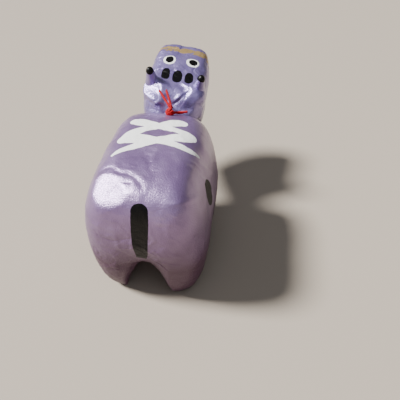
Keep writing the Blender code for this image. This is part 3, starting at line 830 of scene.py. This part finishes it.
def horn_mounds(points):
    """Height of the paper that is banked up round the horns and in the shoulders."""
    total = 0
    for side in (1, -1):
        across = points[..., 0] - side * (HORN_SPREAD + MOUND_SHIFT[0])
        along = points[..., 1] - HORN_FORWARD - MOUND_SHIFT[1]
        total = total + MOUND_HEIGHT * np.exp(-(across ** 2 + along ** 2) / MOUND_WIDTH ** 2)
    total = total * rise(points[..., 2], *MOUND_RISE)
    for across, along, height in SHOULDERS:
        reach = (points[..., 0] - across) ** 2 + (points[..., 1] - along) ** 2
        total = total + height * np.exp(-reach / SHOULDER_WIDTH ** 2) * rise(points[..., 2], *SHOULDER_RISE)
    return total


print("paper is banked up by", MOUND_HEIGHT / MM, "mm round a horn")

# %% [markdown]
# ## Forming the head
# The end of the muzzle and the end of the neck are closed with rings that draw in to a point, so that
# their caps are rounded and not flat fans. Then the mounds are raised, the flat places are pressed, and
# the relief is laid on.

# %% Head skin
NECK_END_BULGE, MUZZLE_BULGE = -2.2 * MM, 1.3 * MM
NECK_END_RINGS, MUZZLE_RINGS = 10, 26
CLOSING_ROUND = 0.8
HEAD_PRESSED = [  # place, depth, width in millimetres
    ((9.6, 4.8, 3.4), 1.7, 8.0), ((4.6, 0.8, 0.8), 0.7, 4.2), ((-7.4, 8.3, 7.4), 1.5, 5.6)]
FACE_RISE, CROWN_RISE, CROWN_FALL = (-8 * MM, -2 * MM), (-5 * MM, -1 * MM), (7 * MM, 11 * MM)
NECK_RELIEF = 0.25


def closing(ring, bulge, count):
    """Rings that round off an open end, drawing in to its middle and bulging forward."""
    middle = ring.mean(axis=0)
    share = (np.arange(count) + 1)[:, None, None] / (count + 0.5)
    drawn = middle + (ring - middle) * np.cos(share * pi / 2) ** CLOSING_ROUND
    return drawn + np.array([0, bulge, 0]) * np.sin(share * pi / 2)


whole_head = np.concatenate([
    closing(bare_head[0], NECK_END_BULGE, NECK_END_RINGS)[::-1], bare_head,
    closing(bare_head[-1], MUZZLE_BULGE, MUZZLE_RINGS)])
head_normals = ring_normals(whole_head)
on_face = rise(whole_head[..., 1], *FACE_RISE)
crown = rise(whole_head[..., 1], *CROWN_RISE) * (1 - rise(whole_head[..., 1], *CROWN_FALL))
head_relief = (layered(lumps, whole_head, HEAD_LUMPS) + layered(creases, whole_head, HEAD_CREASES)
               + strips(whole_head, head_normals, HEAD_STRIPS, HEAD_STRIP_SEED) - STRIP_MEAN
               + wrinkles(whole_head, HEAD_WRINKLES))
head_relief = head_relief + crown * (layered(lumps, whole_head, CROWN_LUMPS)
                                     + layered(creases, whole_head, CROWN_CREASES))
head_side = np.array(hung)[:3, :3].T @ (SUNNY_SIDE * (1, -1, 1)) * (1, -1, 1)
head_skin = whole_head + head_normals * (horn_mounds(whole_head))[..., None]
for place, depth, width in HEAD_PRESSED:
    head_skin = pressed(head_skin, place, head_side, depth * MM, width * MM)
head_skin = head_skin + head_normals * (head_relief * (NECK_RELIEF + (1 - NECK_RELIEF) * on_face))[..., None]
print("head relief from", (head_relief.min() / MM).round(2), "to", (head_relief.max() / MM).round(2), "mm")

# %% [markdown]
# ## The face
# Two eyes, each a white ring round a black pupil, a row of three black ovals on the forehead between the
# horns, and a dull gold band across the muzzle. The gold is thin there, so the band is frayed at its
# edges and broken by gaps.

# %% Face marks
EYES = [  # ring at, half sizes, pupil at, half sizes, lean
    ((5.4, 25.2), (2.95, 3.1), (5.35, 25.5), (1.95, 2.35), 0.05),
    ((-5.8, 25.3), (3.1, 2.95), (-6.05, 25.6), (2.15, 2.1), 0.20)]
OVALS = [  # at, half sizes, lean
    ((5.5, 14.9), (2.0, 4.5), -0.06), ((-0.15, 14.0), (2.3, 4.5), -0.05), ((-5.6, 13.9), (2.05, 4.25), -0.04)]
OVAL_SQUARENESS = 2.7
BAND_START, BAND_START_LEAN = 31.8, 0.04
BAND_END, BAND_END_LEAN = 35.9, 0.03
BAND_LOW, FACE_LOW = 1.0, 3.5
BAND_FRAY = [(.55, 1.6, 43), (.35, 0.8, 47)]  # height and width in millimetres, seed
BAND_GAP_DEPTH, BAND_GAP_WIDTH, BAND_GAP_SEED, BAND_GAP_RISE = 1.9, 1.0 * MM, 53, (0.15, 0.55)

x_mm, s_mm, z_mm = np.moveaxis(head_skin / MM, -1, 0)
below_face = FACE_LOW - z_mm
rings_of_eyes = np.min([oval(x_mm, s_mm, at, halves, lean) for at, halves, _, _, lean in EYES], axis=0)
pupils = np.min([oval(x_mm, s_mm, at, halves, lean) for _, _, at, halves, lean in EYES], axis=0)
ovals = np.min([oval(x_mm, s_mm, at, halves, lean, OVAL_SQUARENESS) for at, halves, lean in OVALS], axis=0)
band_start, band_end = BAND_START + BAND_START_LEAN * x_mm, BAND_END + BAND_END_LEAN * x_mm
band_reach = np.hypot(s_mm - (band_start + band_end) / 2, np.minimum(0, z_mm - BAND_LOW))
band = band_reach - (band_end - band_start) / 2 + layered(lumps, head_skin, BAND_FRAY) / MM
gaps = BAND_GAP_DEPTH * rise(lumps(head_skin, BAND_GAP_WIDTH, BAND_GAP_SEED), *BAND_GAP_RISE)
head_marks = {
    "eye_rings": np.maximum(rings_of_eyes, below_face),
    "pupils": np.maximum(pupils, below_face),
    "ovals": np.maximum(ovals, below_face),
    "band": band + gaps,
    "horn_tips": np.full(x_mm.shape, FAR),
}
for mark, values in head_marks.items():
    print(mark, "covers", int((values < 0).sum()), "points")

# %% [markdown]
# ## The head as a piece
# With its relief and its marks, the head is turned into one mesh, in the place where it hangs.

# %% Head piece
head_mesh = skin("head", hung_points(head_skin), head_marks, head_paint)
piece("head", head_mesh, "head", "head", "head_paint")

# %% [markdown]
# ## Horns
# Two short blunt horns stand on the crown and lean back and outwards. Each is a skin of rings on a
# profile that flares where paper was smoothed on to the head, and only its tip is black.

# %% Horns
HORN_HEIGHT, HORN_SUNK = 0.0074, 0.0035
HORN_LEAN_BACK, HORN_LEAN_OUT = radians(20.0), radians(9.0)
HORN_PROFILE = [  # share of the height, radius in millimetres
    (-0.35, 2.6), (-0.15, 3.3), (0.05, 3.5), (0.24, 3.2), (0.38, 2.7), (0.55, 2.35), (0.72, 2.0),
    (0.84, 1.75), (0.92, 1.35), (0.98, 0.6)]
HORN_TIP_RADIUS = 0.2
HORN_BLACK_FROM, HORN_EDGE_WAVE = 0.80, 0.25
HORN_LUMP, HORN_LUMP_WIDTH, HORN_SEED = 0.16, 2.6, 50
HORN_AROUND, HORN_RINGS = 72, 60


def horn(name, side):
    """A horn as a piece; side is 1 on the cow's left and -1 on its right."""
    rows = smooth_rows(HORN_PROFILE, HORN_RINGS)
    angle = np.linspace(0, 2 * pi, HORN_AROUND, endpoint=False)
    length = HORN_HEIGHT + HORN_SUNK
    share, radius = rows[:, :1], np.maximum(rows[:, 1:], HORN_TIP_RADIUS) * MM
    rings = np.stack([radius * np.cos(angle), radius * np.sin(angle), length * share + 0 * angle], axis=-1)
    relief_rows = [(HORN_LUMP, HORN_LUMP_WIDTH, HORN_SEED + side)]
    rings = rings + ring_normals(rings) * layered(lumps, rings, relief_rows)[..., None]
    edge = (HORN_BLACK_FROM - share) * length / MM + HORN_EDGE_WAVE * np.sin(angle * 2 + side)
    marks = {"horn_tips": edge + 0 * angle}
    for other in ("eye_rings", "pupils", "ovals", "band"):
        marks[other] = np.full(rings.shape[:2], FAR)
    top = smooth_table(HEAD_STATIONS, np.array([HORN_FORWARD]))[0][0]
    root = Matrix.Translation((side * HORN_SPREAD, -HORN_FORWARD, top - HORN_SUNK))
    lean = Matrix.Rotation(-HORN_LEAN_BACK, 4, "X") @ Matrix.Rotation(side * HORN_LEAN_OUT, 4, "Y")
    turned = np.array(hung @ root @ lean)
    rings = rings @ turned[:3, :3].T + turned[:3, 3]
    piece(name, skin(name, rings, marks, head_paint), "head", "head", "head_paint")


for name, side in (("horn_left", 1), ("horn_right", -1)):
    horn(name, side)

# %% [markdown]
# ## The red thread
# A cotton sewing thread of two twisted plies, dyed red, is knotted just behind its hole, about 6 mm
# behind the rim. It goes once through the hole and round the rim, and it holds the head by its crown.
# Dyed cotton is matt, with a faint fluff that lightens its edges, and its fibres show as a fine mottling.

# %% Thread paint
THREAD_RED, THREAD_DARK = "#d4000d", "#98000a"
FIBRE_WIDTH, FIBRE_DEPTH, FIBRE_BUMP = 0.25 * MM, 0.05 * MM, 0.5
FIBRE_STEPS = (0.35, 0.70)
THREAD_LOOK = {"Roughness": 0.62, "Specular IOR Level": 0.3, "Sheen Weight": 0.08, "Sheen Roughness": 0.5,
               "Sheen Tint": srgb("#ff8a80")}

thread_paint, tree, shader = new_material("dyed red cotton thread")
place = add_node(tree, "ShaderNodeTexCoord").outputs["Object"]
fibre = add_node(tree, "ShaderNodeTexNoise", {
    "Vector": place, "Scale": 1 / FIBRE_WIDTH, "Detail": 3.0}).outputs["Fac"]
tint = add_node(tree, "ShaderNodeValToRGB", {"Fac": fibre})
for element, position, code in zip(tint.color_ramp.elements, FIBRE_STEPS, (THREAD_DARK, THREAD_RED)):
    element.position, element.color = position, srgb(code)
bump = add_node(tree, "ShaderNodeBump", {"Height": fibre, "Strength": FIBRE_BUMP, "Distance": FIBRE_DEPTH})
tree.links.new(tint.outputs["Color"], shader.inputs["Base Color"])
tree.links.new(bump.outputs["Normal"], shader.inputs["Normal"])
for socket, value in THREAD_LOOK.items():
    shader.inputs[socket].default_value = value
print("thread paint:", thread_paint.name)

# %% [markdown]
# ## Twisting two plies
# Each ply follows the same path at half a turn from the other, which is a rule that Geometry Nodes can
# follow: resample the path, push it sideways by an angle that grows with the length, sweep a circle along
# it, join the plies, then realize and set the material.

# %% Thread tree
PLY_RADIUS = 0.29 * MM
PLY_OFFSET = 0.24 * MM
TWIST_PITCH = 1.5 * MM
PATH_STEP = 0.10 * MM
PLIES, PLY_SIDES = 2, 10


def twisted_thread_tree():
    """Two plies twisted round each curve it is given."""
    tree = bpy.data.node_groups.new("twisted thread", "GeometryNodeTree")
    sockets = {}
    for name, kind in (("Paths", "NodeSocketGeometry"), ("Ply radius", "NodeSocketFloat"),
                       ("Ply offset", "NodeSocketFloat"), ("Pitch", "NodeSocketFloat"),
                       ("Step", "NodeSocketFloat"), ("Material", "NodeSocketMaterial")):
        socket = tree.interface.new_socket(name=name, in_out="INPUT", socket_type=kind)
        sockets[name] = socket.identifier
    tree.interface.new_socket(name="Thread", in_out="OUTPUT", socket_type="NodeSocketGeometry")
    given = add_node(tree, "NodeGroupInput").outputs
    path = add_node(tree, "GeometryNodeResampleCurve", {"Curve": given["Paths"], "Length": given["Step"]},
                    mode="LENGTH").outputs[0]
    along = add_node(tree, "GeometryNodeSplineParameter").outputs["Length"]
    turned = add_node(tree, "ShaderNodeMath", {0: along, 1: given["Pitch"]}, operation="DIVIDE").outputs[0]
    normal = add_node(tree, "GeometryNodeInputNormal").outputs[0]
    tangent = add_node(tree, "GeometryNodeInputTangent").outputs[0]
    joined = add_node(tree, "GeometryNodeJoinGeometry")
    for ply in range(PLIES):
        angle = add_node(tree, "ShaderNodeMath", {0: turned, 1: 2 * pi, 2: ply * 2 * pi / PLIES},
                         operation="MULTIPLY_ADD")
        sideways = add_node(tree, "ShaderNodeVectorRotate", {"Vector": normal, "Axis": tangent,
                                                             "Angle": angle.outputs[0]})
        offset = add_node(tree, "ShaderNodeVectorMath", {
            0: sideways.outputs[0], "Scale": given["Ply offset"]}, operation="SCALE")
        moved = add_node(tree, "GeometryNodeSetPosition", {"Geometry": path, "Offset": offset.outputs[0]})
        circle = add_node(tree, "GeometryNodeCurvePrimitiveCircle", {
            "Resolution": PLY_SIDES, "Radius": given["Ply radius"]})
        swept = add_node(tree, "GeometryNodeCurveToMesh", {
            "Curve": moved.outputs[0], "Profile Curve": circle.outputs["Curve"], "Fill Caps": True})
        tree.links.new(swept.outputs[0], joined.inputs[0])
    real = add_node(tree, "GeometryNodeRealizeInstances", {"Geometry": joined.outputs[0]})
    done = add_node(tree, "GeometryNodeSetMaterial", {
        "Geometry": real.outputs[0], "Material": given["Material"]})
    add_node(tree, "NodeGroupOutput", {"Thread": done.outputs[0]})
    return tree, sockets


def baked(name, source):
    """The evaluated object as a plain mesh; the source is removed."""
    evaluated = source.evaluated_get(bpy.context.evaluated_depsgraph_get())
    mesh = bpy.data.meshes.new_from_object(evaluated)
    mesh.name = name
    bpy.data.objects.remove(source, do_unlink=True)
    return mesh


print("a turn of the twist is", TWIST_PITCH / MM, "mm long")

# %% [markdown]
# ## Paths of the thread
# Each path is a row of points measured from the top of the rim: the run through the hole and round the
# rim, the stretch to the head, two ends that stand up over the crown, and two that point to the cow's
# right. The knot is a closed path that passes through its own loop again and again, drawn so tight that
# it looks like a bead.

# %% Thread paths
KNOT_RADIUS = 0.00185
KNOT_AT = (-2.0, -5.9, 5.7)  # x, forward, up in millimetres from the top of the rim, as are the routes
KNOT_LOOP, KNOT_ROUND, KNOT_THROUGH = 0.00050, 3, 7
KNOT_POINTS, KNOT_FLATNESS, ROUTE_POINTS = 240, 0.9, 50
THREAD_ROUTES = [
    [(-2.0, -5.6, 5.4), (-1.0, -4.8, 4.9), (-.2, -4.3, 3.6), (0, -4.2, 1.0), (0, -3.8, -1.8), (0, -1.6, -2.6),
     (0, 0, -2.0), (0, .9, -.4), (-.2, .5, 1.2), (-.7, -1.9, 3.3), (-1.7, -4.6, 5.2)],
    [(-2.0, -5.4, 5.8), (-1.4, -3.2, 4.4), (-.5, -.4, 3.0), (0, 3.2, 2.2), (0, 6.0, 1.0), (0, 8.2, -.9)],
    [(-2.0, -5.9, 6.4), (-1.6, -4.8, 8.0), (.9, -1.8, 9.6), (3.8, 1.6, 11.3)],
    [(-2.3, -5.9, 6.4), (-2.4, -4.9, 8.1), (-1.0, -2.0, 10.1), (.6, 1.0, 12.0)],
    [(-2.4, -5.9, 5.7), (-4.2, -4.9, 5.3), (-6.4, -4.0, 5.0), (-8.9, -3.0, 4.8)],
    [(-2.4, -6.0, 5.5), (-4.0, -5.1, 5.1), (-5.6, -4.1, 4.6), (-7.2, -3.2, 4.3)],
]


def knot_path(radius):
    """A closed path that goes KNOT_ROUND times round a small loop and KNOT_THROUGH times through it."""
    t = np.linspace(0, 2 * pi, KNOT_POINTS)
    winding = radius - KNOT_LOOP
    ring = KNOT_LOOP + winding * np.cos(KNOT_THROUGH * t)
    thickness = KNOT_FLATNESS * winding * np.sin(KNOT_THROUGH * t)
    return np.stack([ring * np.cos(KNOT_ROUND * t), thickness, ring * np.sin(KNOT_ROUND * t)], axis=-1)


paths = [rim_top + smooth_rows(route, ROUTE_POINTS) * MM for route in THREAD_ROUTES]
paths.append(rim_top + np.multiply(KNOT_AT, MM) + knot_path(KNOT_RADIUS - PLY_RADIUS - PLY_OFFSET / 2))
for path in paths:
    print("a path of", (np.linalg.norm(np.diff(path, axis=0), axis=1).sum() / MM).round(1), "mm")

# %% [markdown]
# ## The thread as a piece
# The paths become one curve object, the tree twists the plies round them, and the result is turned into a
# plain mesh.

# %% Thread piece
curves = bpy.data.curves.new("thread paths", "CURVE")
curves.dimensions = "3D"
for path in paths:
    spline = curves.splines.new("POLY")
    spline.points.add(len(path) - 1)
    spline.points.foreach_set("co", np.column_stack([placed(path), np.ones(len(path))]).ravel())
source = bpy.data.objects.new("thread paths", curves)
bpy.context.collection.objects.link(source)
modifier = source.modifiers.new("twist", "NODES")
modifier.node_group, sockets = twisted_thread_tree()
for name, value in (("Ply radius", PLY_RADIUS), ("Ply offset", PLY_OFFSET), ("Pitch", TWIST_PITCH),
                    ("Step", PATH_STEP), ("Material", thread_paint)):
    modifier[sockets[name]] = value
thread_mesh = baked("thread", source)
thread_mesh.shade_smooth()
piece("thread", thread_mesh, "hanger", "thread", "red_thread")
